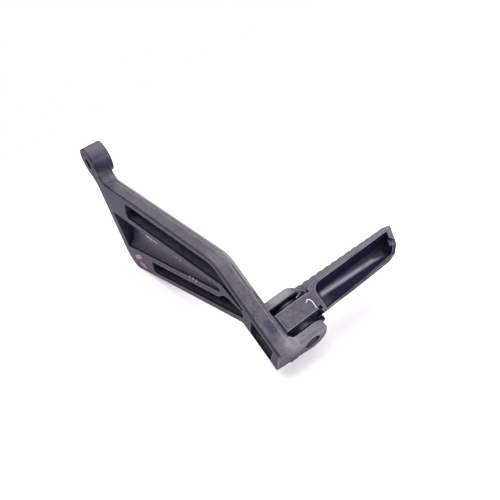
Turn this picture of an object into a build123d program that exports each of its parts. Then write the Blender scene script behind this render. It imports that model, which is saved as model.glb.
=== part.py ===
"""Passenger footrest hanger of a motorcycle, with its folding footrest.

Sizes are in millimetres. The hanger lies on its long lower edge, as it would on a bench:
+X runs along the arm to the footrest, +Y is outboard, the way the footrest points, and
+Z is up. The origin is the centre of the upper fixing bore on the inboard face.
"""
import os
from math import cos, hypot, radians, sin, tan

from build123d import *

# Casting of the arm
PLATE_T = 14.0            # inboard face to outboard face
EDGE_R = 2.2              # rounded outboard edge
EDGE_STEP = 0.6           # the outboard border stands back from the top face
EDGE_BAND = 3.4           # width of that border
FLANGE_T = 4.6            # lip along the top, at its left end
FLANGE_BEND_T = 2.8       # the same lip round the bend
RIB_T = 4.0               # rib over the tapered hollow
LOW_RIB_T = 5.4           # rib under it
BASE_T = 4.6              # lip along the lower edge
POCKET_DEPTH = 10.8       # pockets, from the inboard face
POCKET_FOOT_R = 1.0       # rounded foot of the pocket walls

# Side outline of the arm
EDGE_X = 0.0              # left edge beside the boss
LEAN = 4.0                # how far the left edge leans out at its foot
TOP_Z = -15.2             # top face beside the boss
TOP_FALL = 2.6            # slope of the top face, degrees
BEND_X = 222.6            # corner where the top face turns down to the footrest joint
BEND_R = 25.0
BASE_Z = -104.7           # lowest corner
BASE_RISE = 8.4           # slope of the lower edge, degrees
BASE_CORNER_R = 15.0

# Upper fixing boss, and the second fixing near the lowest corner
BOSS_R = 13.8
BOSS_L = 17.5
BORE_R = 5.25             # clearance hole of an M10 bolt
NECK_R = 10.0             # blend of the boss into the top face
NECK_LEFT_R = 16.0        # blend of the boss into the left edge
FIX_R = 4.25              # tapping hole of an M10 thread
FIX_DEPTH = 10.0
FIX_X = 17.0
FIX_Z = -88.0
FIX_PAD_R = 10.5
FIX_PAD_H = 1.2

# Tapered hollow in the middle of the arm
HOLLOW_X = 9.0            # its left end
HOLLOW_TOP_Z = -44.6
HOLLOW_H = 35.6           # height at the left end
HOLLOW_DEPTH = 11.0
HOLLOW_TIP_X = 216.0
HOLLOW_TIP_DROP = 3.0     # how far its top edge falls on the way to the tip
HOLLOW_TIP_H = 5.0
HOLLOW_TIP_DEPTH = 2.6

# Side pockets
UPPER_X = 48.0            # left end of the pocket under the top lip
UPPER_LEAN = 15.0         # how far that end leans to the right at its top
LOWER_X = 58.0            # left end of the pocket over the lower lip
LOWER_LEAN = 8.0
POCKET_END = 39.5         # end of both pockets, back from the joint's end face
UPPER_FLOOR_R = 3.0       # lower left corner of the upper pocket
UPPER_TOP_R = 4.0         # its upper left corner
UPPER_TIP_R = 1.2         # both corners of its tip
UPPER_RIB_R = 12.0        # the corner where its rib bends
UPPER_TIP_H = 2.6         # width of the upper pocket at its end past the bend
POCKET_GAP = 2.4          # rib between the two pockets past the bend

# Joint of the footrest
TILT = 43.0               # slope of the hinge axis down from the arm, degrees
YAW = 4.5                 # sweep of the footrest away from square to the arm, degrees
END_X = 278.0             # top corner of the joint's end face
END_Z = -80.0
BLOCK_H = 20.6            # height of the joint block
END_LEAN = 2.2            # how far its end face leans out at its foot
EAR_R = 12.0              # round ends of the ears
EAR_TIP = 13.9            # reach of the ears past the hinge axis
EAR_T = 6.2
EAR_STEP = 0.6            # the ears are machined a little below the top face
EAR_BEVEL = 2.0           # outer rim of the ears
EAR_INNER_BEVEL = 0.5
GAP = 23.8                # clear width between the ears
PIN_Y = 28.6              # hinge axis, from the inboard face
SLOT_CORNER_R = 2.2       # rounded root corners of the slot
SLOT_Y = 1.0              # machined root of the slot, from the outboard face at the end
ROOT_T = 5.0              # wall that the ears stand on
END_WALL = 6.2            # block at the end face
BACK_HOLLOW_L = 25.4      # hollow behind the joint
BACK_LIP = 2.8            # lip over that hollow
BACK_FOOT = 1.6           # lip under it

# Hinge pin and its fittings
PIN_R = 4.0
PIN_FIT = 0.05            # radial running clearance
HEAD_R = 5.6
HEAD_T = 2.2
SINK_R = 6.2              # counterbores for the pin's head and its clip
SINK_DEPTH = 2.6
CLIP_R = 5.6
CLIP_T = 0.9
CLIP_SEAT_R = 3.1
CLIP_SEAT_W = 1.0
CLIP_MOUTH = 5.0
CLIP_LOBE_R = 1.2         # relieved places inside the clip
PIN_BEVEL = 0.5

# Detent that holds the footrest out or folded
DETENT_T = 2.0            # detent plate beside the tongue
DETENT_RIM = 1.8          # ear's edge past the plate's
DETENT_TOP_R = 6.6        # the plate is narrower over the pin
DETENT_LEG = 5.0          # half width of the plate's leg, which stops it turning
BALL_R = 2.5
BALL_EDGE = 2.4           # plate's edge past the middle of the ball's track
BALL_ANGLE = -30.0        # ball below the footrest's own line, degrees
BALL_SINK = 0.6           # how far the ball stands into the plate's track
TRACK_PLAY = 0.1
DIMPLE = 0.25             # extra depth where the ball comes to rest
SPRING_WIRE = 0.7
SPRING_TURNS = 4
SPRING_L = 6.0
PLAY = 0.3                # side play of faces that slide
DISC_T = 0.8              # conical spring washer on the other side of the tongue
DISC_H = 1.4
DISC_R = 7.4

# Footrest
FOLD = 85.0               # travel of the fold, degrees
TONGUE_W = 13.4
TONGUE_BEVEL = 1.4        # stop corner
HUB_R = 9.2               # hub round the pin, nearly as wide as the gap
PAD_R = 4.2               # pad round the detent ball
SHOULDER_Y = 15.4         # start of the broad part, from the hinge axis
PEG_L = 90.4              # hinge axis to the middle of the tip
BULGE_Y = 50.0            # where the back wall starts to turn in
RIM_Z = 12.2              # open underside, from the hinge axis
TREAD_Z = -7.4            # tread face
TREAD_EDGE_T = 4.0
FRONT_W = 17.8            # tread edge on the bend's side, from the hinge's middle plane
FRONT_W_TIP = 15.6
FRONT_RIM_START = 6.9     # edge of the open underside on that side, at the shoulder
FRONT_RIM = 9.4
BACK_RIM = 11.2           # the same edge on the other side
BACK_RIM_MID = 10.1
BACK_RIM_TIP = 7.3
BACK_FOOT_IN = 4.4        # the back wall leans in to its foot
TIP_DROP = 0.5            # the underside comes closer to the axis at the tip
END_SLANT = 24.0          # slope of the end face across the footrest, degrees
CORNER_SLANT = 54.0       # its far corner is cut off more steeply
CORNER_X = 1.8            # where that cut starts
NEAR_SLANT = -14.0        # its near corner is cut back a little
NEAR_X = -11.5
WALL = 1.3
TREAD_WALL = 5.0
HOLLOW_DRAFT = 1.0        # narrowing of the hollow to its floor, each side
HOLLOW_START_Y = 19.5
HOLLOW_FLOOR_R = 5.0
HOLLOW_START_R = 7.0      # its near corner at the shoulder
HOLLOW_SKEW = 1.2         # slant of its start, each side
END_PLATE = 5.2
CORNER_PLATE = 2.2
END_FACET = 4.4           # sloped top of the end wall
GROOVE_PITCH = 6.2
GROOVE_CUT_L = 60.0       # a groove is cut this long, past both rims
PAST_TIP = 12.0           # the footrest is drawn past its tip, then cut at a slant
GROOVE_R = 1.8
GROOVE_DEPTH = 1.1
TIP_NOTCH_X = 1.0
TIP_NOTCH_W = 4.4
TIP_NOTCH_DEPTH = 4.5
RELIEF = 3.0              # relief in the corner of the tongue and the shoulder

JOINT_W = GAP + 2 * EAR_T
PIN_Z = -EAR_STEP - EAR_R                         # hinge axis, below the top face
DETENT_R = EAR_R - DETENT_RIM
BALL_ORBIT = DETENT_R - BALL_EDGE                 # ball's distance from the hinge axis
MID_X = -(EAR_T + GAP / 2)
EAR_ROOT = SLOT_Y + SLOT_CORNER_R                 # full height kept at the outer ear's root
LEAN_AT_PIN = END_LEAN * -PIN_Z / BLOCK_H
CLIP_SEAT = JOINT_W / 2 + LEAN_AT_PIN - SINK_DEPTH
HEAD_SEAT = SINK_DEPTH - JOINT_W / 2
SLOT_BACK = PIN_Y - PLATE_T - SLOT_Y              # hinge axis to the root of the slot
STOP_Y = SLOT_BACK - PLAY                         # hinge axis to the tongue's stop face
PLATE_X = -(GAP / 2 - DETENT_T)                   # face of the detent plate
BALL_X = PLATE_X - BALL_SINK + BALL_R
HUB_LEFT = PLATE_X + PLAY
HUB_RIGHT = GAP / 2 - DISC_H - PIN_FIT


def side(y):
    """Drawing plane of a side view at a distance outboard of the inboard face."""
    return Plane.XZ.offset(-y)


def slab(outline, y_from, y_to):
    """Outline in side view, given a thickness between two distances."""
    return extrude(side(y_from) * outline, amount=-(y_to - y_from))


def rounded(points, radii):
    """Closed outline with its corners rounded."""
    return make_face(FilletPolyline(*points, radius=radii, close=True))


# Lines of the side view
def top_line(x):
    return TOP_Z - (x - EDGE_X) * tan(radians(TOP_FALL))


def base_line(x):
    return BASE_Z + (x - (EDGE_X - LEAN)) * tan(radians(BASE_RISE))


def hollow_share(x):
    return (x - HOLLOW_X) / (HOLLOW_TIP_X - HOLLOW_X)


def hollow_top(x):
    """Upper edge of the tapered hollow."""
    return HOLLOW_TOP_Z - HOLLOW_TIP_DROP * hollow_share(x)


def hollow_low(x):
    """Lower edge of the tapered hollow."""
    return hollow_top(x) - (HOLLOW_H + (HOLLOW_TIP_H - HOLLOW_H) * hollow_share(x))


def along_joint(s, drop=0.0):
    """Point in side view: s along the hinge axis from the end face, drop below the top."""
    t = radians(TILT)
    return (END_X + s * cos(t) - drop * sin(t), END_Z - s * sin(t) - drop * cos(t))


def base_meets_joint():
    """Where the lower edge of the arm runs into the underside of the joint."""
    t = radians(TILT)
    x0, z0 = along_joint(0, BLOCK_H)
    slope = tan(radians(BASE_RISE))
    x = (z0 + tan(t) * x0 - base_line(0)) / (slope + tan(t))
    return (x, base_line(x))


def joint_frame():
    """Frame of the joint: x along the hinge pin, y outboard along the footrest, z up."""
    t, yaw = radians(TILT), radians(YAW)
    return Plane(origin=(END_X, PLATE_T, END_Z),
                 x_dir=(cos(t) * cos(yaw), sin(yaw), -sin(t) * cos(yaw)),
                 z_dir=(sin(t), 0, cos(t)))


JOINT = joint_frame()
HINGE = Plane(JOINT.from_local_coords(Vector(MID_X, PIN_Y - PLATE_T, PIN_Z)),
              x_dir=JOINT.x_dir, z_dir=JOINT.z_dir)


def in_joint(shape):
    return JOINT.location * shape


def in_hinge(shape):
    return HINGE.location * shape


def rod(radius, x_from, x_to):
    """Round bar along the hinge axis, in the hinge frame."""
    bar = Rot(0, 90, 0) * Cylinder(radius, x_to - x_from)
    return Pos((x_from + x_to) / 2, 0, 0) * bar


def arm_outline():
    """Side view of the arm and the joint block, without the boss."""
    foot_x = EDGE_X - LEAN
    corner = (foot_x, base_line(foot_x))
    bend = (BEND_X, top_line(BEND_X))
    points = [(EDGE_X, 0), (BOSS_R, 0), (BOSS_R, top_line(BOSS_R)), bend,
              along_joint(0), along_joint(END_LEAN, BLOCK_H), base_meets_joint(), corner]
    return rounded(points, [0, 0, NECK_R, BEND_R, 1.0, 2.0, 5.0, BASE_CORNER_R])


def arm_blank():
    """Arm with its boss, before the hollows are cut."""
    blank = slab(arm_outline(), 0, PLATE_T) + slab(Circle(BOSS_R), 0, PLATE_T)
    necks = [e for e in blank.edges().filter_by(Axis.Y) if e.center().X < EDGE_X + 1
             and abs(hypot(e.center().X, e.center().Z) - BOSS_R) < 0.01]
    blank = fillet(necks, NECK_LEFT_R)
    rear = blank.faces().sort_by(Axis.Y)[-1]
    border = extrude(offset(rear, -EDGE_STEP), amount=-EDGE_BAND)
    blank = split(blank, side(PLATE_T - EDGE_BAND), keep=Keep.TOP)
    border = fillet(border.faces().sort_by(Axis.Y)[-1].edges(), EDGE_R)
    blank += border
    boss = slab(Circle(BOSS_R), 0, BOSS_L)
    boss = fillet(boss.faces().sort_by(Axis.Y)[-1].edges(), 1.0)
    pad = slab(Pos(FIX_X, FIX_Z) * Circle(FIX_PAD_R), PLATE_T - 1, PLATE_T + FIX_PAD_H)
    return blank + boss + pad


def pocket(points, radii):
    """Drafted pocket in the inboard face with a rounded foot."""
    mouth = side(0) * rounded(points, radii)
    block = extrude(mouth, amount=-POCKET_DEPTH)
    foot = block.faces().sort_by(Axis.Y)[-1]
    return fillet(foot.edges(), POCKET_FOOT_R)


def upper_pocket():
    """Pocket under the top lip, running round the bend."""
    left = (UPPER_X, hollow_top(UPPER_X) + RIB_T + 1.6)
    top_x = UPPER_X + UPPER_LEAN
    turn_x = BEND_X - FLANGE_BEND_T / 2
    points = [left, (top_x, top_line(top_x) - FLANGE_T), (turn_x, top_line(turn_x) - FLANGE_BEND_T),
              along_joint(-POCKET_END, FLANGE_BEND_T),
              along_joint(-POCKET_END - 1.0, FLANGE_BEND_T + UPPER_TIP_H),
              (BEND_X + 1, hollow_top(BEND_X - 4) + RIB_T)]
    return pocket(points, [UPPER_FLOOR_R, UPPER_TOP_R, BEND_R - FLANGE_BEND_T,
                           UPPER_TIP_R, UPPER_TIP_R, UPPER_RIB_R])


def lower_pocket():
    """Pocket over the lower lip, which widens past the tip of the tapered hollow."""
    def top(x):
        return hollow_low(x) - LOW_RIB_T
    top_x = LOWER_X + LOWER_LEAN
    waist = HOLLOW_TIP_X - 9
    rib = FLANGE_BEND_T + UPPER_TIP_H + POCKET_GAP
    end = along_joint(-POCKET_END - 1.0, rib)
    end_x = end[0] - 2.0
    crown = (HOLLOW_TIP_X + 10.0, HOLLOW_TOP_Z - 8.6)
    points = [(LOWER_X, base_line(LOWER_X) + BASE_T), (top_x, top(top_x)), (waist, top(waist)),
              (HOLLOW_TIP_X + 3.0, crown[1] - 0.4), crown, end,
              (end_x, base_line(end_x) + BASE_T)]
    return pocket(points, [3.0, 3.0, 8.0, 5.0, 6.0, 1.3, 1.3])


def tapered_hollow():
    """Half-round hollow that narrows towards the bend."""
    def section(x, height, depth):
        z = (hollow_top(x) + hollow_low(x)) / 2
        plane = Plane(origin=(x, 0, z), x_dir=(0, 1, 0), z_dir=(1, 0, 0))
        return plane * Ellipse(depth, height / 2)
    return loft([section(HOLLOW_X, HOLLOW_H, HOLLOW_DEPTH),
                 section(HOLLOW_TIP_X, HOLLOW_TIP_H, HOLLOW_TIP_DEPTH)])


def back_hollow():
    """Hollow behind the joint, open inboard, between a top and a bottom lip."""
    far = END_WALL + BACK_HOLLOW_L
    depth = PLATE_T - ROOT_T
    foot = BLOCK_H - BACK_FOOT
    points = [along_joint(-END_WALL, BACK_LIP), along_joint(-END_WALL, foot),
              along_joint(2 - far, foot), along_joint(-far, BACK_LIP)]
    block = slab(rounded(points, 1.5), -1, depth)
    return fillet(block.faces().sort_by(Axis.Y)[-1].edges(), 1.2)


def ear(x_inner, x_outer, lean=0.0):
    """Ear of the joint with a round end; its outer face may lean out at its foot."""
    middle = PIN_Y - PLATE_T + EAR_TIP - EAR_R
    foot = Pos(0.5, -(BLOCK_H + EAR_STEP) / 2) * Rectangle(2, BLOCK_H - EAR_STEP)
    profile = make_hull((foot + Pos(middle, -EAR_STEP - EAR_R) * Circle(EAR_R)).edges())
    outward = 1 if x_outer > x_inner else -1
    plane = Plane(origin=(x_inner, 0, 0), x_dir=(0, 1, 0), z_dir=(1, 0, 0))
    block = extrude(plane * profile, amount=x_outer - x_inner + outward * END_LEAN * 2)
    outer = Plane(origin=(x_outer, 0, 0), z_dir=(outward, 0, lean))
    block = split(block, outer, keep=Keep.BOTTOM)

    def rim(face_plane):
        return block.edges().filter_by(
            lambda e: e.center().Y > 3 and abs(face_plane.to_local_coords(e.center()).Z) < 0.01)
    block = chamfer(rim(outer), EAR_BEVEL)
    return chamfer(rim(plane), EAR_INNER_BEVEL)


def slot():
    """Machined space between the ears, square to the hinge pin."""
    height = EAR_R * 3
    space = Pos(MID_X, SLOT_Y + PIN_Y / 2, 1 - height / 2) * Box(GAP, PIN_Y, height)
    root = space.edges().filter_by(Axis.Z).group_by(Axis.Y)[0].sort_by(Axis.X)[-1]
    return fillet(root, SLOT_CORNER_R)


def end_root():
    """Full-height root of the outer ear, with metal for the slot's rounded corner."""
    start, inner = -EDGE_BAND, -EAR_T - SLOT_CORNER_R
    profile = Polyline((inner, 0), (0, 0), (END_LEAN, -BLOCK_H), (inner, -BLOCK_H), close=True)
    plane = Plane(origin=(0, start, 0), x_dir=(1, 0, 0), z_dir=(0, -1, 0))
    return extrude(plane * make_face(profile), amount=start - EAR_ROOT)


def hanger():
    body = arm_blank()
    body -= upper_pocket()
    body -= lower_pocket()
    body -= tapered_hollow()
    body -= back_hollow()
    ears = ear(-JOINT_W + EAR_T, -JOINT_W) + ear(-EAR_T, 0, END_LEAN / BLOCK_H)
    body += in_joint(end_root())
    body -= in_joint(slot())
    body += in_joint(ears)
    hole = rod(PIN_R + PIN_FIT, -JOINT_W, JOINT_W)
    sinks = rod(SINK_R, CLIP_SEAT, JOINT_W) + rod(SINK_R, -JOINT_W, HEAD_SEAT)
    body -= in_hinge(hole + sinks)
    body -= slab(Circle(BORE_R), -1, BOSS_L + 1)
    body -= slab(Pos(FIX_X, FIX_Z) * Circle(FIX_R), PLATE_T + FIX_PAD_H - FIX_DEPTH, PLATE_T + 2)
    return body


def pivot_pin():
    """Headed pin, sunk in both ears, with a groove for its clip."""
    shank = rod(PIN_R, HEAD_SEAT, CLIP_SEAT + SINK_DEPTH - PLAY)
    shank = chamfer(shank.faces().sort_by(Axis.X)[-1].edges(), PIN_BEVEL)
    head = rod(HEAD_R, HEAD_SEAT - HEAD_T, HEAD_SEAT)
    head = chamfer(head.faces().sort_by(Axis.X)[0].edges(), PIN_BEVEL)
    groove = rod(PIN_R + 1, CLIP_SEAT, CLIP_SEAT + CLIP_SEAT_W) \
        - rod(CLIP_SEAT_R, CLIP_SEAT, CLIP_SEAT + CLIP_SEAT_W)
    return shank + head - groove


def pivot_clip():
    """Open clip in the pin's groove, lying in the counterbore."""
    ring = rod(CLIP_R, CLIP_SEAT, CLIP_SEAT + CLIP_T)
    ring -= rod(CLIP_SEAT_R, CLIP_SEAT, CLIP_SEAT + CLIP_T)
    mouth = Pos(CLIP_SEAT, 0, -CLIP_R) * Box(3 * CLIP_T, CLIP_MOUTH, 2 * CLIP_R)
    lobe = rod(CLIP_LOBE_R, CLIP_SEAT - 1, CLIP_SEAT + CLIP_T + 1)
    for angle in (60, 180, 300):
        ring -= Rot(angle, 0, 0) * Pos(0, 0, CLIP_SEAT_R + CLIP_LOBE_R / 2) * lobe
    return ring - mouth


def ball_place(angle):
    """Centre of the detent ball with the footrest turned by an angle."""
    a = radians(BALL_ANGLE - angle)
    return Pos(BALL_X, BALL_ORBIT * cos(a), BALL_ORBIT * sin(a))


def detent_plate():
    """Plate on the inner ear, with the ball's track and a dimple at each end of it."""
    back = -GAP / 2
    outline = Circle(DETENT_R) - Pos(0, DETENT_R) * Rectangle(3 * DETENT_R, 2 * DETENT_R)
    outline += Circle(DETENT_TOP_R)
    outline += Pos(-SLOT_BACK / 2, DETENT_LEG - DETENT_R) \
        * Rectangle(SLOT_BACK, 2 * DETENT_LEG)
    outline -= Circle(PIN_R + PIN_FIT)
    plane = Plane(origin=(back, 0, 0), x_dir=(0, 1, 0), z_dir=(1, 0, 0))
    plate = extrude(plane * outline, amount=DETENT_T)
    ring = Plane.XY * Pos(BALL_X, BALL_ORBIT) * Circle(BALL_R + TRACK_PLAY)
    track = revolve(ring, Axis.X, FOLD)
    plate -= Rot(BALL_ANGLE - FOLD, 0, 0) * track
    for angle in (0, FOLD):
        plate -= ball_place(angle) * Pos(-DIMPLE, 0, 0) * Sphere(BALL_R + TRACK_PLAY)
    return plate


def disc_spring():
    """Conical spring washer between the tongue's hub and the outer ear."""
    x0, x1 = GAP / 2 - DISC_H, GAP / 2
    inner = PIN_R + PLAY
    rise = DISC_H - DISC_T
    profile = make_face(Polyline((x1 - DISC_T, inner), (x1, inner), (x1 - rise, DISC_R),
                                 (x0, DISC_R), close=True))
    return revolve(profile, Axis.X, 360)


def detent_ball():
    return ball_place(0) * Sphere(BALL_R)


def detent_spring():
    """Coil behind the ball."""
    radius = BALL_R - SPRING_WIRE / 2 - 0.1
    height = SPRING_L - SPRING_WIRE
    coil = Helix(height / SPRING_TURNS, height, radius)
    wire = sweep(Plane(origin=coil @ 0, z_dir=coil % 0) * Circle(SPRING_WIRE / 2), path=coil)
    start = BALL_R * 0.75 + SPRING_WIRE / 2
    return ball_place(0) * Pos(start, 0, 0) * Rot(0, 90, 0) * wire


def across(y):
    """Drawing plane of a cut across the footrest."""
    return Plane(origin=(0, y, 0), x_dir=(1, 0, 0), z_dir=(0, -1, 0))


def peg_share(y):
    """How far along the broad part a cut lies."""
    return (y - SHOULDER_Y) / (PEG_L - SHOULDER_Y)


def front_edge(y):
    return FRONT_W + (FRONT_W_TIP - FRONT_W) * peg_share(y)


def rim_height(y):
    return RIM_Z - TIP_DROP * peg_share(y)


def peg_section(y, front_rim, back_rim):
    """Broad part of the footrest cut across: a sloped flank on the bend's side."""
    top, front = rim_height(y), front_edge(y)
    foot_in = BACK_FOOT_IN * (1 - 0.7 * peg_share(y))
    points = [(-front_rim, top), (back_rim, top), (back_rim - foot_in, TREAD_Z),
              (-front, TREAD_Z), (-front, TREAD_Z + TREAD_EDGE_T)]
    return across(y) * make_face(Polyline(*points, close=True))


def end_cut(shape, inset, corner_inset):
    """Cut the tip off at a slant, and its two corners at other slants."""
    for slant, x, back in ((NEAR_SLANT, NEAR_X, inset), (END_SLANT, 0, inset),
                           (CORNER_SLANT, CORNER_X, corner_inset)):
        out = Vector(sin(radians(slant)), cos(radians(slant)), 0)
        cut = Plane(origin=Vector(x, end_line(x), 0) - out * back, z_dir=out)
        shape = split(shape, cut, keep=Keep.BOTTOM)
    return shape


def end_line(x):
    """Distance of the slanted end face from the hinge axis."""
    return PEG_L - x * tan(radians(END_SLANT))


def broad_part():
    """Broad part of the footrest, with a sloped facet over its slanted end."""
    past_tip = PEG_L + PAST_TIP
    sections = [peg_section(SHOULDER_Y, FRONT_RIM_START, BACK_RIM),
                peg_section(HOLLOW_START_Y, FRONT_RIM, BACK_RIM),
                peg_section(BULGE_Y, FRONT_RIM, BACK_RIM_MID),
                peg_section(PEG_L, FRONT_RIM, BACK_RIM_TIP),
                peg_section(past_tip, FRONT_RIM, BACK_RIM_TIP - 0.4)]
    broad = end_cut(loft(sections, ruled=True), 0, 0)
    facet = [e for e in broad.edges() if e.center().Z > RIM_Z - 1
             and e.center().Y > PEG_L - CORNER_X and e.center().X < CORNER_X
             and abs(e.tangent_at(0.5).X) > 0.5]
    return chamfer(facet, END_FACET)


def peg_hollow():
    """Open hollow of the underside, narrowing to a floor with rounded edges."""
    left, far = WALL - FRONT_RIM, PEG_L + 9
    mouth = rounded([(left, HOLLOW_START_Y + HOLLOW_SKEW), (BACK_RIM - WALL, HOLLOW_START_Y - HOLLOW_SKEW),
                     (BACK_RIM_MID - WALL, BULGE_Y), (BACK_RIM_TIP - WALL, PEG_L),
                     (BACK_RIM_TIP - WALL, far), (left, far)], [HOLLOW_START_R, 0, 0, 0, 0, 0])
    floor = offset(mouth, -HOLLOW_DRAFT, kind=Kind.INTERSECTION)
    block = loft([Pos(0, 0, RIM_Z + 1) * mouth, Pos(0, 0, TREAD_Z + TREAD_WALL) * floor], ruled=True)
    block = end_cut(block, END_PLATE, CORNER_PLATE)
    return fillet(block.faces().sort_by(Axis.Z)[0].edges(), HOLLOW_FLOOR_R)


def tread_grooves():
    """Rounded grooves across the tread, which notch its edge as well."""
    first = SHOULDER_Y + GROOVE_PITCH
    count = int((end_line(-FRONT_W_TIP) - first) / GROOVE_PITCH) + 1
    drop = GROOVE_R - GROOVE_DEPTH
    cutters = []
    for i in range(count):
        y = first + i * GROOVE_PITCH
        cutters.append(Pos(0, y, TREAD_Z - drop) * Rot(0, 90, 0) * Cylinder(GROOVE_R, GROOVE_CUT_L))
        cutters.append(Pos(-front_edge(y) - drop, y, TREAD_Z)
                       * Cylinder(GROOVE_R, 4 * TREAD_EDGE_T))
    return cutters


def tongue():
    """Tongue between the ears: a square stop corner, and round where it turns in the slot."""
    swing = Circle(STOP_Y) & Pos(0, (RIM_Z + TREAD_Z) / 2 - 1.5) \
        * Rectangle(2 * STOP_Y, RIM_Z - TREAD_Z + 3)
    corner = make_face(Polyline((-STOP_Y, 0), (-STOP_Y, RIM_Z - TONGUE_BEVEL),
                                (TONGUE_BEVEL - STOP_Y, RIM_Z), (0, RIM_Z), close=True))
    web_l = SHOULDER_Y + 3
    web = Pos(web_l / 2, (RIM_Z + TREAD_Z) / 2) * Rectangle(web_l, RIM_Z - TREAD_Z)
    plane = Plane(origin=(-TONGUE_W / 2, 0, 0), x_dir=(0, 1, 0), z_dir=(1, 0, 0))
    blade = extrude(plane * (swing + corner + web), amount=TONGUE_W)
    clear = DETENT_R + PLAY
    foot = Pos(0, (clear + web_l) / 2, TREAD_Z + TREAD_WALL / 2) \
        * Box(GAP - 2 * PLAY, web_l - clear, TREAD_WALL)
    return blade + foot


def footrest():
    body = broad_part()
    for cutter in tread_grooves():
        body -= cutter
    body += tongue()
    body -= peg_hollow()
    body -= Pos(TONGUE_W / 2, SHOULDER_Y, RIM_Z) * Box(RELIEF, RELIEF, 2 * RELIEF)
    body -= Pos(-TONGUE_W / 2 - 1, SHOULDER_Y, RIM_Z) * Box(RELIEF, RELIEF, 2 * RELIEF)
    body += rod(HUB_R, HUB_LEFT, HUB_RIGHT)
    seat = Pos(HUB_LEFT - BALL_X, 0, 0) * ball_place(0) * Rot(0, 90, 0)
    from_pad = (Align.CENTER, Align.CENTER, Align.MIN)
    body += seat * Cylinder(PAD_R, -HUB_LEFT, align=from_pad)
    body -= rod(PIN_R + PIN_FIT, -GAP, GAP)
    bore_l = BALL_X + BALL_R + SPRING_L - HUB_LEFT
    body -= seat * Cylinder(BALL_R + PIN_FIT, bore_l, align=from_pad)
    notch = Rot(0, 0, -END_SLANT) * Box(TIP_NOTCH_W, 2.2 * END_PLATE, 2 * TIP_NOTCH_DEPTH)
    return body - Pos(TIP_NOTCH_X, end_line(TIP_NOTCH_X), RIM_Z) * notch


if __name__ == "__main__":
    os.makedirs("parts", exist_ok=True)
    at_hinge = [pivot_pin, pivot_clip, detent_plate, disc_spring, detent_ball, detent_spring,
                footrest]
    nodes = {"hanger": hanger()}
    for build in at_hinge:
        nodes[build.__name__] = in_hinge(build())
    for name, shape in nodes.items():
        shape.label = name
        export_step(shape, f"parts/{name}.step")
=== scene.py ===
"""Looks of a folding passenger footrest and its cast hanger, lying on a pale table."""
import math

import bpy
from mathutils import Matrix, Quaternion, Vector


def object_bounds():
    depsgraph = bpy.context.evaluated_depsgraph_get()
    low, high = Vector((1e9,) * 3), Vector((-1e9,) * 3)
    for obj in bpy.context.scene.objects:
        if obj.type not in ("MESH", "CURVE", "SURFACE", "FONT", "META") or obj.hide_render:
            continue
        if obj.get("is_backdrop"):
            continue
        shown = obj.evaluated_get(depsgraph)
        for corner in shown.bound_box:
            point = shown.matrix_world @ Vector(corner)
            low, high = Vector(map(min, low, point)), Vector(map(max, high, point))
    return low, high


bl_info = {
    "name": "Footrest hanger finish",
    "version": (1, 0, 0),
    "blender": (4, 5, 0),
    "location": "3D View > Sidebar > Footrest",
    "description": "Paint, wear and stage of a cast footrest hanger",
    "category": "Material",
}

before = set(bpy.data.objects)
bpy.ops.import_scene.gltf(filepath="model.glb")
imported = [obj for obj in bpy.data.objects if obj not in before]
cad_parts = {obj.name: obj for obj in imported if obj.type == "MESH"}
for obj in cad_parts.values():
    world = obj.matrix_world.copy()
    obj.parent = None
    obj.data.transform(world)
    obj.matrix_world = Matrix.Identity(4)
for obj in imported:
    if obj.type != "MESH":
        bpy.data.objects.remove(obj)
CAD_LOW, CAD_HIGH = (list(corner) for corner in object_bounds())
MIDDLE = [(low + high) / 2 for low, high in zip(CAD_LOW, CAD_HIGH)]

MM = 0.001
UP = (0.0, 0.0, 1.0)
INBOARD = (0.0, -1.0, 0.0)


# Sums of sockets
def sum_method(name, turned=False):
    """A sum of two numbers as a method of Wire; turned makes the wire the second of them."""
    def method(wire, other):
        pair = (other, wire) if turned else (wire, other)
        return wire.finish.sum(name, *pair)
    return method


class Wire:
    """An output in a material's node tree; a number takes part in sums as a plain one does."""
    __add__, __radd__ = sum_method("ADD"), sum_method("ADD", turned=True)
    __sub__, __rsub__ = sum_method("SUBTRACT"), sum_method("SUBTRACT", turned=True)
    __mul__, __rmul__ = sum_method("MULTIPLY"), sum_method("MULTIPLY", turned=True)
    __truediv__ = sum_method("DIVIDE")
    least, most = sum_method("MINIMUM"), sum_method("MAXIMUM")

    def __init__(self, finish, socket):
        self.finish = finish
        self.socket = socket

    def __abs__(self):
        return self.finish.sum("ABSOLUTE", self)

    def held(self):
        """Kept between 0 and 1."""
        return self.least(1.0).most(0.0)

    def ramp(self, start, end):
        """0 up to start and 1 from end, smooth between them; a start above the end turns it round."""
        return self.finish.node("ShaderNodeMapRange", {
            "Value": self, "From Min": start, "From Max": end},
            interpolation_type="SMOOTHSTEP").out("Result")


class Node:
    """A node of a material, whose outputs are wires."""

    def __init__(self, finish, node):
        self.finish = finish
        self.node = node

    def out(self, name):
        return Wire(self.finish, self.node.outputs[name])


def colour_mix(tree):
    """Adds a node that mixes two colours; gives its share, its two colours and its result."""
    node = tree.nodes.new("ShaderNodeMix")
    node.data_type = "RGBA"
    return [socket for socket in (*node.inputs, *node.outputs) if socket.enabled]


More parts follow.
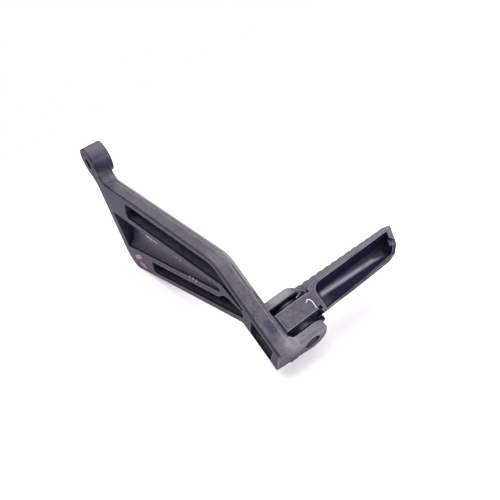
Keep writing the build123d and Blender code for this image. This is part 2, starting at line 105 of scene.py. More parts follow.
class Finish:
    """One material: its node tree, the sums in it and its shader."""

    def __init__(self, name):
        self.material = bpy.data.materials.new(name)
        self.material.use_nodes = True
        self.tree = self.material.node_tree
        self.shader = self.tree.nodes["Principled BSDF"]
        self.place = self.node("ShaderNodeTexCoord").out("Object")

    def node(self, kind, values=None, **settings):
        """Any node: its settings are made first, then its values and links."""
        node = self.tree.nodes.new(kind)
        for name, value in settings.items():
            setattr(node, name, value)
        for name, value in (values or {}).items():
            self.put(node.inputs[name], value)
        return Node(self, node)

    def put(self, socket, value):
        """Links a wire to a socket, or sets its value; colours have no fourth number here."""
        if isinstance(value, Wire):
            self.tree.links.new(value.socket, socket)
        elif socket.type == "RGBA":
            socket.default_value = (*value, 1.0)
        else:
            socket.default_value = value

    def sum(self, operation, *values):
        """One step of a sum."""
        return self.node("ShaderNodeMath", dict(enumerate(values)),
                         operation=operation).out("Value")

    def vector(self, operation, *values, out="Vector"):
        """One step of a vector sum."""
        return self.node("ShaderNodeVectorMath", dict(enumerate(values)),
                         operation=operation).out(out)

    def noise(self, scale, detail, rough, place=None):
        """A cloudy number between 0 and 1."""
        return self.node("ShaderNodeTexNoise", {
            "Vector": place or self.place, "Scale": scale, "Detail": detail,
            "Roughness": rough}).out("Fac")

    def mix(self, share, first, second):
        """Colour that goes from the first to the second with the share."""
        *inputs, result = colour_mix(self.tree)
        for socket, value in zip(inputs, (share, first, second)):
            self.put(socket, value)
        return Wire(self, result)

    def lay(self, colour, shares, paint):
        """Lays a paint over a colour, once for each share."""
        for share in shares:
            colour = self.mix(share, colour, paint)
        return colour

    def edge(self, radius, start, end):
        """1 on the edges, 0 on the flats."""
        soft = self.node("ShaderNodeBevel", {"Radius": radius}, samples=EDGE_SAMPLES).out("Normal")
        return self.facing(soft).ramp(start, end)

    def crease(self, reach):
        """1 deep in corners, 0 in the open."""
        node = self.node("ShaderNodeAmbientOcclusion", {"Distance": reach}, samples=CREASE_SAMPLES)
        return 1.0 - node.out("AO")

    def facing(self, way):
        """1 where the surface faces a way, -1 where it faces the other way."""
        normal = self.node("ShaderNodeNewGeometry").out("Normal")
        return self.vector("DOT_PRODUCT", normal, way, out="Value")

    def coordinate(self, axis):
        """Place along one axis of the frame."""
        return self.node("ShaderNodeSeparateXYZ", {"Vector": self.place}).out(axis)

    def dot(self, place, radius, soft):
        """1 inside a small ball around a point of the frame, 0 outside it."""
        return self.vector("DISTANCE", self.place, place, out="Value").ramp(radius + soft, radius)

    def stroke(self, start, end, radius, soft):
        """1 inside a stroke between two points of the frame, 0 outside it."""
        along = Vector(end) - Vector(start)
        from_start = self.vector("SUBTRACT", self.place, start)
        share = self.vector("DOT_PRODUCT", from_start, tuple(along), out="Value")
        share = (share / along.length_squared).held()
        step = self.node("ShaderNodeVectorMath", {0: tuple(along), "Scale": share},
                         operation="SCALE").out("Vector")
        away = self.vector("DISTANCE", from_start, step, out="Value")
        return away.ramp(radius + soft, radius - soft)

    def bump(self, height, depth):
        """Normal of a surface with this height, from 0 to 1, times a depth."""
        return self.node("ShaderNodeBump", {
            "Height": height, "Strength": 1.0, "Distance": depth}).out("Normal")

    def lay_matt_shade(self, share, colour):
        """Covers a share of the surface, as it is so far, with a matt layer of painted shade."""
        matt = self.node("ShaderNodeBsdfPrincipled", {
            "Base Color": colour, "Roughness": MATT_SHADE_ROUGHNESS, "Specular IOR Level": MATT_SHADE_SHINE})
        surface = self.tree.nodes["Material Output"].inputs["Surface"]
        under = Wire(self, surface.links[0].from_socket)
        both = self.node("ShaderNodeMixShader", {0: share, 1: under, 2: matt.out("BSDF")})
        self.put(surface, both.out("Shader"))

    def set(self, **values):
        """Sets the shader's sockets by name, with _ for each space, and gives the material."""
        for name, value in values.items():
            self.put(self.shader.inputs[name.replace("_", " ")], value)
        return self.material


# Settings that a user may change
class PaintSettings(bpy.types.PropertyGroup):
    """Black paint of the castings, with its painted shade and painted highlights"""
    colour: bpy.props.FloatVectorProperty(
        name="Paint", description="Colour of the satin paint", subtype="COLOR", size=3,
        min=0, max=1, default=(0.052, 0.044, 0.075))
    # Colour of the painted shade in pockets, creases, lines and shaded sides, and of the real stains
    shade_and_stain_colour: bpy.props.FloatVectorProperty(
        name="Painted shade and stains", description="Colour of the painted shade in pockets and creases, and of the stains",
        subtype="COLOR", size=3, min=0, max=1, default=(0.019, 0.015, 0.045))
    dust_colour: bpy.props.FloatVectorProperty(
        name="Dust", description="Colour of the grey film", subtype="COLOR", size=3,
        min=0, max=1, default=(0.150, 0.145, 0.155))
    # Colour of rubbed paint, also used for the painted highlights on the top's border and on the ears
    wear_and_highlight_colour: bpy.props.FloatVectorProperty(
        name="Wear and painted highlight", description="Colour where the paint is rubbed thin, and of painted highlights", subtype="COLOR",
        size=3, min=0, max=1, default=(0.24, 0.235, 0.25))
    rim_colour: bpy.props.FloatVectorProperty(
        name="Rims", description="Paint along sharp edges that is rubbed pale", subtype="COLOR",
        size=3, min=0, max=1, default=(0.42, 0.41, 0.44))
    scratch_colour: bpy.props.FloatVectorProperty(
        name="Scratch", description="Bare metal in a scratch", subtype="COLOR", size=3,
        min=0, max=1, default=(0.85, 0.85, 0.88))
    # Colour of the painted highlight along the floor of the footrest's hollow
    band_colour: bpy.props.FloatVectorProperty(
        name="Hollow highlight", description="Painted highlight along the floor of the footrest's hollow",
        subtype="COLOR", size=3, min=0, max=1, default=(0.80, 0.76, 0.90))
    dab_colour: bpy.props.FloatVectorProperty(
        name="Red dab", description="Colour of the red paint dab", subtype="COLOR", size=3,
        min=0, max=1, default=(0.62, 0.22, 0.27))
    roughness: bpy.props.FloatProperty(
        name="Roughness", description="Roughness of sound paint", subtype="FACTOR",
        min=0, max=1, default=0.37)
    grain: bpy.props.FloatProperty(
        name="Casting grain", description="Depth of the grain under the paint",
        unit="LENGTH", min=0, max=0.001, precision=5, default=0.00012)


class SteelSettings(bpy.types.PropertyGroup):
    """Steel of the hinge"""
    colour: bpy.props.FloatVectorProperty(
        name="Steel", description="Colour of the plated steel", subtype="COLOR", size=3,
        min=0, max=1, default=(0.10, 0.095, 0.10))
    dirt_colour: bpy.props.FloatVectorProperty(
        name="Grease", description="Colour of old grease", subtype="COLOR", size=3,
        min=0, max=1, default=(0.008, 0.007, 0.010))
    rust_colour: bpy.props.FloatVectorProperty(
        name="Rust", description="Colour of the rust specks", subtype="COLOR", size=3,
        min=0, max=1, default=(0.07, 0.035, 0.02))
    ball_shade: bpy.props.FloatProperty(
        name="Ball", description="How much lighter the hardened ball is", min=0, default=4.0)


class StageSettings(bpy.types.PropertyGroup):
    """Table, lamps and camera"""
    table_colour: bpy.props.FloatVectorProperty(
        name="Table", description="Colour of the table", subtype="COLOR", size=3,
        min=0, max=1, default=(0.80, 0.78, 0.84))
    table_size: bpy.props.FloatProperty(
        name="Table size", description="Side of the table", unit="LENGTH", min=0.5, default=1.3)
    table_glow: bpy.props.FloatProperty(
        name="Table light", description="Light that shines up through the table",
        min=0, default=0.47)
    tent_size: bpy.props.FloatProperty(
        name="Light tent", description="Width of the lit cloth overhead", unit="LENGTH", min=0.1,
        default=3.0)
    key_power: bpy.props.FloatProperty(
        name="Overhead lamp", description="Power behind the cloth overhead", unit="POWER",
        min=0, default=56.0)
    front_power: bpy.props.FloatProperty(
        name="Front lamp", description="Power of the small lamp beyond the fork", unit="POWER",
        min=0, default=4.5)
    world_level: bpy.props.FloatProperty(
        name="Room light", description="Strength of the light from all sides", min=0,
        default=0.14)
    world_colour: bpy.props.FloatVectorProperty(
        name="Room colour", description="Colour of the light from all sides", subtype="COLOR",
        size=3, min=0, max=1, default=(0.80, 0.68, 1.0))
    camera_place: bpy.props.FloatVectorProperty(
        name="Camera", description="Place of the camera", subtype="TRANSLATION", size=3,
        default=(0.7298, -0.1514, 0.2366))
    camera_aim: bpy.props.FloatVectorProperty(
        name="Aim", description="Point that the camera looks at", subtype="TRANSLATION", size=3,
        default=(0.2630, 0.0140, -0.0109))
    camera_roll: bpy.props.FloatProperty(
        name="Roll", description="Turn of the camera about its line of sight",
        subtype="ANGLE", default=math.radians(-21.573))
    camera_lens: bpy.props.FloatProperty(
        name="Lens", description="Focal length", unit="CAMERA", min=1, default=64.956)


# Places on the part, in metres. A stroke is its start, its end, its radius and the width of its
# soft edge; a chip is a place, a radius and a soft edge. The arm's inboard face is at y = 0.
DABS = (((0.0190, 0.0, -0.0890), (0.0350, 0.0, -0.0835), 2.0 * MM, 0.7 * MM),
        ((0.0260, 0.0, -0.0935), (0.0360, 0.0, -0.0935), 2.0 * MM, 0.7 * MM))
ARM_SCRATCHES = (
    ((0.0461, 0.0093, -0.0633), (0.0623, 0.0085, -0.0627), 0.55 * MM, 0.4 * MM),
    ((0.0655, 0.0084, -0.0620), (0.0760, 0.0080, -0.0612), 0.25 * MM, 0.4 * MM))
ARM_CHIPS = (((0.1573, 0.0005, -0.0604), 0.55 * MM, 0.4 * MM),
             ((0.1642, 0.0, -0.0600), 0.8 * MM, 0.4 * MM),
             ((0.1708, 0.0, -0.0593), 0.6 * MM, 0.4 * MM),
             ((0.1308, 0.0057, -0.0582), 0.45 * MM, 0.4 * MM),
             ((0.1221, 0.0060, -0.0592), 0.35 * MM, 0.4 * MM),
             ((0.1670, 0.0, -0.0615), 0.4 * MM, 0.4 * MM))
STAINS = (((0.2620, 0.0070, -0.0642), (0.2655, 0.0076, -0.0677), 2.8 * MM, 1.3 * MM),
          ((0.2539, 0.0040, -0.0562), (0.2556, 0.0010, -0.0580), 0.9 * MM, 1.3 * MM))
BARE_PATCH = ((0.2748, 0.0095, -0.0768), (0.2729, 0.0144, -0.0753), 4.2 * MM, 4.0 * MM)
# Painted light on the two ears: pale patches where they are lit
NEAR_EAR_LIGHT = ((0.2527, 0.0210, -0.0573), (0.2515, 0.0330, -0.0560), 4.0 * MM, 4.0 * MM)
FAR_EAR_LIGHT = ((0.2780, 0.0180, -0.0790), (0.2790, 0.0340, -0.0800), 11.0 * MM, 5.0 * MM)
# Painted shade on the neck below the eye
NECK_SHADE = ((0.0140, -0.0020, 0.0010), (0.0145, 0.0180, -0.0080), 4.0 * MM, 6.0 * MM)
# Painted highlight along the floor of the footrest's hollow
HOLLOW_BAND = (((0.2500, 0.0547, -0.0744), (0.2492, 0.0985, -0.0737), 0.9 * MM, 2.0 * MM),
               ((0.2492, 0.0985, -0.0737), (0.2524, 0.1091, -0.0744), 0.6 * MM, 1.6 * MM))
# Painted shadow line of the step on the tongue
STEP_SHADOW_LINE = ((0.2633, 0.0161, -0.0668), (0.2678, 0.0168, -0.0710), 0.5 * MM, 0.3 * MM)
HOOK = ((0.2620, 0.0372, -0.0655), (0.2612, 0.0385, -0.0648), (0.2615, 0.0400, -0.0652),
        (0.2630, 0.0409, -0.0666), (0.2648, 0.0408, -0.0682), (0.2668, 0.0406, -0.0700))
HOOK_WIDTH = (0.22 * MM, 0.25 * MM)   # radius and soft edge of the hooked scratch
PIN_LINE = (0.729, 0.078, -0.680)     # direction of the hinge pin

# Borders of looks. A pair gives where a look starts and where it is full: in metres for a place
# or a width, and for a tilt in how far a face looks one way, where 1 is straight at it.
EYE_END_X = (0.010, 0.020)            # the inboard face of the eye gets no painted shade up to here
EYE_SIDE_X = (0.070, 0.035)           # the painted shade on the arm's inboard face deepens from here towards the eye
TOP_START_X, TOP_END_X = (0.012, 0.022), (0.247, 0.240)   # ends of the top face's long lines
LIP_Y = (3.0 * MM, 1.0 * MM)          # what is this near to y = 0 belongs to the inboard face
SEAM_Y = (2.1 * MM, 1.3 * MM)         # painted shade line along the inboard edge of the top face
CREASE_Y = 0.0106                     # painted shade line in the crease between the top face and its outboard border
CREASE_WIDTH = (0.9 * MM, 0.4 * MM)
GLINT_Y = CREASE_Y - 1.1 * MM         # painted highlight line beside it
GLINT_WIDTH = (1.0 * MM, 0.3 * MM)
BORDER_WIDTH = (0.3 * MM, 1.6 * MM)   # painted highlight on the rounded border, from the dark line outwards
TOP_TILT, SEAM_TILT = (0.30, 0.55), (0.1, 0.4)
INBOARD_TILT, END_WALL_TILT, SHADED_SIDE_TILT = (0.6, 0.95), (0.6, 0.9), (0.45, 0.80)
BAND_Y, BAND_ACROSS = 0.0547, 0.2371  # start of the painted highlight band, along Y and along the pin's line
BAND_SLOPE = 0.054                    # how much the band leaves the Y axis
SHADE_WIDTH = (0.9 * MM, 2.4 * MM)    # shade below the band, from the band's middle outwards
SHADE_Y = (0.054, 0.060)              # where that shade starts along Y

# Wear of the paint, and painted shade in its recesses and corners. A share is how much of a look's
# colour shows. An edge is its radius, then where wear starts and is full, as how well the rounded
# normal agrees with the face's own.
CREASE_SAMPLES, EDGE_SAMPLES = 8, 6
RUBBED_EDGE, RIM_EDGE = (0.8 * MM, 0.99, 0.88), (1.2 * MM, 0.985, 0.85)
RECESS_SHADE_REACH, CORNER_REACH = 15 * MM, 3 * MM    # how far away a wall still shelters a place
RECESS_SHADE_DEPTH, CORNER_DEPTH = (0.24, 0.60), (0.25, 0.75)     # how sheltered the place is, up to 1
FILM_TILT, OPEN_TILT = (-0.1, 0.95), (0.0, 0.7)
ARM_OPENNESS, FOOTREST_OPENNESS = 0.50, -0.06     # how much less painted shade lies on what faces up
# Shares of the dust film, of painted shade in recesses and in corners, and of the matt layer of
# painted shade
FILM_SHARE, RECESS_SHADE_SHARE, CORNER_SHARE, MATT_SHADE_SHARE = 0.75, 0.72, 0.35, 0.45
RUB_SHARE, RIM_SHARE, PIT_SHARE = 0.85, 0.5, 0.105
RUB_UNDER_SHADE = 0.6                  # how much of the rubbed paint the painted shade hides
PAINT_LEVEL, PAINT_MOTTLE = 0.85, 1.5  # mean brightness, and how far the mottle moves it
# The second and third are the shine and roughness of the matt layer of painted shade
PAINT_SHINE, MATT_SHADE_SHINE, MATT_SHADE_ROUGHNESS = 0.38, 0.12, 0.85
# The last is how roughness changes where painted shade lies in recesses
FILM_ROUGHNESS, GRAIN_ROUGHNESS, RECESS_SHADE_ROUGHNESS = 0.18, 0.14, -0.08

# Marks on the arm and the footrest
INBOARD_SHARE, EYE_SIDE_SHARE = 0.35, 0.35        # painted shade on the inboard face, and more by the eye
INBOARD_ROUGHNESS = 0.25
LINE_SHADE = 0.15                     # brightness of the painted shade lines, as a share of the painted shade colour
# Shares of the painted shade line in the crease, and of the painted highlights beside it and on the
# border
CREASE_SHARE, GLINT_SHARE, BORDER_SHARE = 0.7, 0.4, 0.85
NECK_SHARE, STAIN_SHARE, DAB_SHARE, CHIP_SHARE = 0.8, 0.9, 0.95, 0.85
# The ear shares are of painted light on the ears
BARE_SHARE, EAR_LIGHT_SHARE, FAR_EAR_LIGHT_SHARE = 0.45, 0.9, 0.45
# Shares on the footrest: end wall kept free of painted shade, painted highlight band, painted shade
# on the side and beside the band
END_WALL_SHARE, BAND_SHARE, SHADED_SIDE_SHARE, SHADE_SHARE = 0.8, 0.95, 0.8, 0.88
SHADE_AT_EDGES = 0.7                  # how much of the shade the worn edges clear
# Share of the painted shadow line of the step
STEP_SHADOW_SHARE = 0.9

# Wear of the steel
GREASE_PATCHY, GREASE_LEVEL = 0.7, -0.25          # weight of its noise, and what it is cut by
GREASE_SHARE, RUST_SHARE = 0.8, 0.4
STEEL_METALLIC, GREASE_METALLIC = 0.9, -0.6
TURNED_ROUGHNESS, GREASE_ROUGHNESS = 0.15, 0.25
TURNED_DEPTH = 0.02 * MM

# Noises, as scale per metre, detail and roughness, and borders of the patches that they give
CLOUD, BLOTCH = (16.0, 4.0, 0.55), (80.0, 5.0, 0.62)
MOTTLE, GRAIN, SPECKLE = (340.0, 4.0, 0.6), (900.0, 3.0, 0.55), (900.0, 2.0, 0.5)
FILM_PATCHES, PITS = (0.25, 0.75), (0.66, 0.74)
RUB_PATCHES, RIM_PATCHES = (0.35, 0.55), (0.30, 0.50)
CREASE_NOISE, CREASE_PATCHES = (60.0, 3.0, 0.55), (0.25, 0.55)
FLAKE_NOISE, STAIN_FLAKES, DAB_FLAKES = (520.0, 3.0, 0.55), (0.32, 0.48), (0.15, 0.42)
BARE_NOISE, BARE_PATCHES = (240.0, 4.0, 0.55), (0.35, 0.65)
BAND_NOISE, BAND_PATCHES = (90.0, 3.0, 0.5), (0.1, 0.45)
TURNED_NOISE, TURNED_STRETCH = (260.0, 2.0, 0.5), (1.0, 1.0, 6.0)
GREASE_NOISE = (180.0, 4.0, 0.55)
RUST_NOISE, RUST_SPECKS = (300.0, 5.0, 0.7), (0.62, 0.75)


# Finishes
def paint_finish(name, openness, unshaded=None):
    """Satin black paint on cast aluminium, rubbed at the edges, filmed with dust and given painted
    shade in its recesses and corners.

    The openness says how much less painted shade lies where the surface faces up, and the last
    argument gives the share of the surface on which less painted shade lies.
    """
    s = bpy.context.scene.footrest_paint
    f = Finish(name)
    cloud, blotch, mottle, grain, speckle = (
        f.noise(*noise) for noise in (CLOUD, BLOTCH, MOTTLE, GRAIN, SPECKLE))
    up = f.facing(UP)
    # Painted shade in recesses: darker where walls shelter a place, less where it faces up
    deep = (f.crease(RECESS_SHADE_REACH) - up.ramp(*OPEN_TILT) * openness).ramp(*RECESS_SHADE_DEPTH)
    if unshaded is not None:
        deep = deep * (1.0 - unshaded(f))
    # Painted shade in tight corners
    corner = f.crease(CORNER_REACH).ramp(*CORNER_DEPTH)
    # Where no painted shade lies
    bare = 1.0 - deep
    film = up.ramp(*FILM_TILT) * (cloud * 0.5 + blotch * 0.5).ramp(*FILM_PATCHES) * bare
    rub = f.edge(*RUBBED_EDGE) * blotch.ramp(*RUB_PATCHES) * (1.0 - deep * RUB_UNDER_SHADE)
    rim = f.edge(*RIM_EDGE) * blotch.ramp(*RIM_PATCHES) * (1.0 - corner)
    pit = mottle.ramp(*PITS) * bare
    uneven = (PAINT_LEVEL + PAINT_MOTTLE * (mottle - 0.5) + (speckle - 0.5)).held()
    colour = f.mix(uneven, (0.0, 0.0, 0.0), s.colour)
    colour = f.mix((film * uneven).held() * FILM_SHARE, colour, s.dust_colour)
    # Lays the painted shade of recesses and corners
    colour = f.mix((deep * RECESS_SHADE_SHARE + corner * CORNER_SHARE).held(), colour, s.shade_and_stain_colour)
    colour = f.mix((rub * RUB_SHARE + pit * PIT_SHARE).held(), colour, s.wear_and_highlight_colour)
    colour = f.mix(rim * RIM_SHARE, colour, s.rim_colour)
    rough = s.roughness + film * FILM_ROUGHNESS + (grain - 0.5) * GRAIN_ROUGHNESS \
        + deep * RECESS_SHADE_ROUGHNESS
    height = grain * 0.5 + mottle * 0.5
    # Matt layer of painted shade over the recesses
    f.lay_matt_shade(deep * MATT_SHADE_SHARE, s.shade_and_stain_colour)
    f.set(Specular_IOR_Level=PAINT_SHINE)
    return f, colour, rough.held(), height


def arm_paint():
    """Paint of the hanger, with its dust, stains, dabs, scratches and chips, painted shade on its
    inboard face, neck and lines, and painted highlights on its top's border and on its ears.
    """
    s = bpy.context.scene.footrest_paint
    f, colour, rough, height = paint_finish("black_paint_arm", ARM_OPENNESS)
    x, y = f.coordinate("X"), f.coordinate("Y")
    up = f.facing(UP)
    # Painted shade on the inboard faces, deeper towards the eye
    inboard = f.facing(INBOARD).ramp(*INBOARD_TILT) * (y.ramp(*LIP_Y) * 0.5 + 0.5)
    by_eye = (x.ramp(*EYE_SIDE_X) * EYE_SIDE_SHARE + INBOARD_SHARE) * x.ramp(*EYE_END_X)
    colour = f.mix(inboard * by_eye, colour, s.shade_and_stain_colour)

    patchy = f.noise(*CREASE_NOISE).ramp(*CREASE_PATCHES)
    along = up.ramp(*TOP_TILT) * x.ramp(*TOP_START_X) * x.ramp(*TOP_END_X)
    # Painted shade lines: along the inboard edge of the top face and in the crease by the border
    seam = y.ramp(*SEAM_Y) * up.ramp(*SEAM_TILT)
    crease = abs(y - CREASE_Y).ramp(*CREASE_WIDTH) * along * patchy
    glint = abs(y - GLINT_Y).ramp(*GLINT_WIDTH) * along * patchy
    border = (y - CREASE_Y).ramp(*BORDER_WIDTH) * along
    line = [c * LINE_SHADE for c in s.shade_and_stain_colour]
    colour = f.lay(colour, (seam, crease * CREASE_SHARE), line)
    # Painted highlights: the bright line beside the crease and the rounded outboard border
    top_edge_highlight = (glint * GLINT_SHARE + border * BORDER_SHARE).held()
    colour = f.mix(top_edge_highlight, colour, s.wear_and_highlight_colour)

    # Matt painted shade on the neck below the eye
    f.lay_matt_shade(f.stroke(*NECK_SHADE) * NECK_SHARE, s.shade_and_stain_colour)
    flakes = f.noise(*FLAKE_NOISE)
    stained = flakes.ramp(*STAIN_FLAKES) * STAIN_SHARE
    colour = f.lay(colour, (f.stroke(*row) * stained for row in STAINS), s.shade_and_stain_colour)
    bare = f.stroke(*BARE_PATCH) * f.noise(*BARE_NOISE).ramp(*BARE_PATCHES)
    # Painted light: pale patches on the ears
    ear_light = f.stroke(*NEAR_EAR_LIGHT).most(f.stroke(*FAR_EAR_LIGHT) * FAR_EAR_LIGHT_SHARE)
    pale = (bare * BARE_SHARE + ear_light * EAR_LIGHT_SHARE).held()
    colour = f.mix(pale, colour, s.wear_and_highlight_colour)
    dabbed = flakes.ramp(*DAB_FLAKES) * DAB_SHARE
    colour = f.lay(colour, (f.stroke(*row) * dabbed for row in DABS), s.dab_colour)
    colour = f.lay(colour, (f.stroke(*row) for row in ARM_SCRATCHES), s.scratch_colour)
    colour = f.lay(colour, (f.dot(*row) * CHIP_SHARE for row in ARM_CHIPS), s.scratch_colour)
    rough = (rough + inboard * INBOARD_ROUGHNESS).held()
    return f.set(Base_Color=colour, Roughness=rough, Normal=f.bump(height, s.grain))


def hollow_highlight(finish):
    """Painted highlight along the floor of the footrest's hollow."""
    first, second = (finish.stroke(*row) for row in HOLLOW_BAND)
    return first.most(second)


def unshaded_parts(finish):
    """The highlight band and the end wall of the footrest's hollow, which get less of the painted
    shade.
    """
    end_wall = finish.facing(INBOARD).ramp(*END_WALL_TILT)
    return hollow_highlight(finish).most(end_wall * END_WALL_SHARE)


def footrest_paint():
    """Paint of the footrest, with a painted highlight along its hollow, painted shade on its side,
    beside the highlight and on a step, and its hooked scratch.
    """
    s = bpy.context.scene.footrest_paint
    f, colour, rough, height = paint_finish(
        "black_paint_footrest", FOOTREST_OPENNESS, unshaded_parts)
    # Painted highlight along the floor of the hollow
    band = hollow_highlight(f) * f.noise(*BAND_NOISE).ramp(*BAND_PATCHES)
    # Painted shade on the side of the footrest that faces along the pin
    shaded_side = f.facing(PIN_LINE).ramp(*SHADED_SIDE_TILT)
    colour = f.mix(band * BAND_SHARE, colour, s.band_colour)
    colour = f.mix(shaded_side * SHADED_SIDE_SHARE, colour, s.shade_and_stain_colour)
    y = f.coordinate("Y")
    across = f.vector("DOT_PRODUCT", f.place, PIN_LINE, out="Value")
    beside = across - (y - BAND_Y) * BAND_SLOPE - BAND_ACROSS
    shaded = beside.ramp(*SHADE_WIDTH) * y.ramp(*SHADE_Y) \
        * (1.0 - f.edge(*RUBBED_EDGE) * SHADE_AT_EDGES)
    # Matt painted shade beside the band and on that side
    f.lay_matt_shade(shaded.most(shaded_side) * SHADE_SHARE, s.shade_and_stain_colour)
    # Painted shadow line of the step on the tongue
    colour = f.mix(f.stroke(*STEP_SHADOW_LINE) * STEP_SHADOW_SHARE, colour, s.shade_and_stain_colour)
    hook = (f.stroke(start, end, *HOOK_WIDTH) for start, end in zip(HOOK, HOOK[1:]))
    colour = f.lay(colour, hook, s.scratch_colour)
    return f.set(Base_Color=colour, Roughness=rough, Normal=f.bump(height, s.grain))


def steel_finish(name, shade, rough):
    """Turned steel with old grease in its corners and specks of rust; a lower shade is darker."""
    s = bpy.context.scene.footrest_steel
    f = Finish(name)
    turned = f.noise(*TURNED_NOISE, f.vector("MULTIPLY", f.place, TURNED_STRETCH))
    patchy = f.noise(*GREASE_NOISE) * GREASE_PATCHY
    grease = (f.crease(CORNER_REACH) + patchy + GREASE_LEVEL).held()
    rust = f.noise(*RUST_NOISE).ramp(*RUST_SPECKS)
    steel = [min(1.0, c * shade) for c in s.colour]
    colour = f.mix(grease * GREASE_SHARE, steel, s.dirt_colour)
    colour = f.mix(rust * RUST_SHARE, colour, s.rust_colour)
    rough = (rough + turned * TURNED_ROUGHNESS + grease * GREASE_ROUGHNESS).held()
    return f.set(Base_Color=colour, Metallic=(STEEL_METALLIC + grease * GREASE_METALLIC).held(),
                 Roughness=rough, Normal=f.bump(turned, TURNED_DEPTH))


def dress(node, material):
    """Gives a node of the frame its finish."""
    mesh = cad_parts[node].data
    mesh.materials.clear()
    mesh.materials.append(material)


# Pieces
class FOOTREST_OT_castings(bpy.types.Operator):
    """Paint the hanger and the footrest"""
    bl_idname = "footrest.castings"
    bl_label = "Castings"

    def execute(self, context):
        dress("hanger", arm_paint())
        dress("footrest", footrest_paint())
        return {"FINISHED"}


class FOOTREST_OT_hinge(bpy.types.Operator):
    """Finish the pin, its clip and the parts of the detent"""
    bl_idname = "footrest.hinge"
    bl_label = "Hinge"

    def execute(self, context):
        ball_shade = context.scene.footrest_steel.ball_shade
        for node, name, shade, rough in (
                ("pivot_pin", "pin_steel", 0.3, 0.5),
                ("pivot_clip", "clip_steel", 0.4, 0.5),
                ("detent_plate", "plate_steel", 0.35, 0.5),
                ("disc_spring", "disc_steel", 0.35, 0.5),
                ("detent_ball", "ball_steel", ball_shade, 0.12),
                ("detent_spring", "coil_steel", 0.7, 0.4)):
            dress(node, steel_finish(name, shade, rough))
        return {"FINISHED"}


# Stage
OVERHEAD_SHIFT = (-0.10, 0.20)        # from above the middle of the part
OVERHEAD_HEIGHT = 1.35
FRONT_LAMP, FRONT_LAMP_SIZE = (1.2, 0.15, 0.20), 0.6
TABLE_GAP = 0.2 * MM                  # between the table and the lowest point of the part
TABLE_SEEN = (1.0, 0.98, 1.0)         # colour of the table's glow for the camera
TABLE_LIGHT = (0.80, 0.75, 0.86)      # the same for all that it lights
TABLE_ROUGHNESS = 0.8
SENSOR_WIDTH = 36.0                   # of the camera, in millimetres


def lamp(name, place, size, power):
    """Hangs a round lamp that looks at the middle of the part."""
    light = bpy.data.lights.new(name, "AREA")
    light.shape = "DISK"
    light.size = size
    light.energy = power
    holder = bpy.data.objects.new(name, light)
    holder.location = place
    holder.rotation_euler = (Vector(MIDDLE) - Vector(place)).to_track_quat("-Z", "Y").to_euler()
    bpy.context.collection.objects.link(holder)


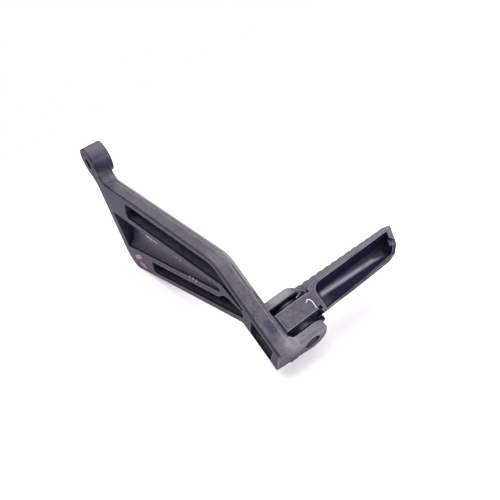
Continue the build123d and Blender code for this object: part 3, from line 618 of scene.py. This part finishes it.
class FOOTREST_OT_stage(bpy.types.Operator):
    """Lay the table, hang the lamps and place the camera"""
    bl_idname = "footrest.stage"
    bl_label = "Stage"

    def execute(self, context):
        s = context.scene.footrest_stage
        self.table(s)
        self.room(s)
        self.lamps(s)
        self.camera(s)
        context.scene.view_settings.view_transform = "Standard"
        return {"FINISHED"}

    def table(self, s):
        """A square table that glows, and looks lighter to the camera than it shines."""
        half = s.table_size / 2
        z = CAD_LOW[2] - TABLE_GAP
        corners = [(MIDDLE[0] + i * half, MIDDLE[1] + j * half, z)
                   for i, j in ((-1, -1), (1, -1), (1, 1), (-1, 1))]
        mesh = bpy.data.meshes.new("table")
        mesh.from_pydata(corners, [], [(0, 1, 2, 3)])
        table = bpy.data.objects.new("table", mesh)
        bpy.context.collection.objects.link(table)
        f = Finish("table_top")
        seen = f.node("ShaderNodeLightPath").out("Is Camera Ray")
        mesh.materials.append(f.set(
            Base_Color=s.table_colour, Roughness=TABLE_ROUGHNESS, Emission_Strength=s.table_glow,
            Emission_Color=f.mix(seen, TABLE_LIGHT, TABLE_SEEN)))
        table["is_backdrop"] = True

    def room(self, s):
        """Soft light from all sides, with white where the camera looks past the table."""
        world = bpy.data.worlds.new("room")
        world.use_nodes = True
        tree = world.node_tree
        path = tree.nodes.new("ShaderNodeLightPath")
        seen, room, white, colour = colour_mix(tree)
        tree.links.new(path.outputs["Is Camera Ray"], seen)
        room.default_value = (*(c * s.world_level for c in s.world_colour), 1)
        white.default_value = (1, 1, 1, 1)
        tree.links.new(colour, tree.nodes["Background"].inputs["Color"])
        bpy.context.scene.world = world

    def lamps(self, s):
        """A wide lamp overhead and a small one beyond the fork."""
        overhead = (MIDDLE[0] + OVERHEAD_SHIFT[0], MIDDLE[1] + OVERHEAD_SHIFT[1], OVERHEAD_HEIGHT)
        lamp("overhead", overhead, s.tent_size, s.key_power)
        lamp("front", FRONT_LAMP, FRONT_LAMP_SIZE, s.front_power)

    def camera(self, s):
        """The camera of the photograph."""
        data = bpy.data.cameras.new("camera")
        data.lens = s.camera_lens
        data.sensor_width = SENSOR_WIDTH
        camera = bpy.data.objects.new("camera", data)
        look = Vector(s.camera_aim) - Vector(s.camera_place)
        camera.location = s.camera_place
        camera.rotation_mode = "QUATERNION"
        camera.rotation_quaternion = look.to_track_quat("-Z", "Y") \
            @ Quaternion((0, 0, 1), s.camera_roll)
        bpy.context.collection.objects.link(camera)
        bpy.context.scene.camera = camera


class FOOTREST_PT_sidebar(bpy.types.Panel):
    """Lists the pieces and their settings"""
    bl_idname = "FOOTREST_PT_sidebar"
    bl_label = "Footrest hanger"
    bl_space_type = "VIEW_3D"
    bl_region_type = "UI"
    bl_category = "Footrest"

    def draw(self, context):
        for title, settings, operator in (
                ("Paint", context.scene.footrest_paint, "footrest.castings"),
                ("Steel", context.scene.footrest_steel, "footrest.hinge"),
                ("Stage", context.scene.footrest_stage, "footrest.stage")):
            box = self.layout.box()
            box.label(text=title)
            for name in settings.__annotations__:
                box.prop(settings, name)
            box.operator(operator)


CLASSES = (PaintSettings, SteelSettings, StageSettings, FOOTREST_OT_castings,
           FOOTREST_OT_hinge, FOOTREST_OT_stage, FOOTREST_PT_sidebar)


def register():
    for cls in CLASSES:
        bpy.utils.register_class(cls)
    bpy.types.Scene.footrest_paint = bpy.props.PointerProperty(type=PaintSettings)
    bpy.types.Scene.footrest_steel = bpy.props.PointerProperty(type=SteelSettings)
    bpy.types.Scene.footrest_stage = bpy.props.PointerProperty(type=StageSettings)


def unregister():
    del bpy.types.Scene.footrest_stage
    del bpy.types.Scene.footrest_steel
    del bpy.types.Scene.footrest_paint
    for cls in reversed(CLASSES):
        bpy.utils.unregister_class(cls)


def main():
    register()
    bpy.ops.footrest.castings()
    bpy.ops.footrest.hinge()
    bpy.ops.footrest.stage()


if __name__ == "__main__":
    main()
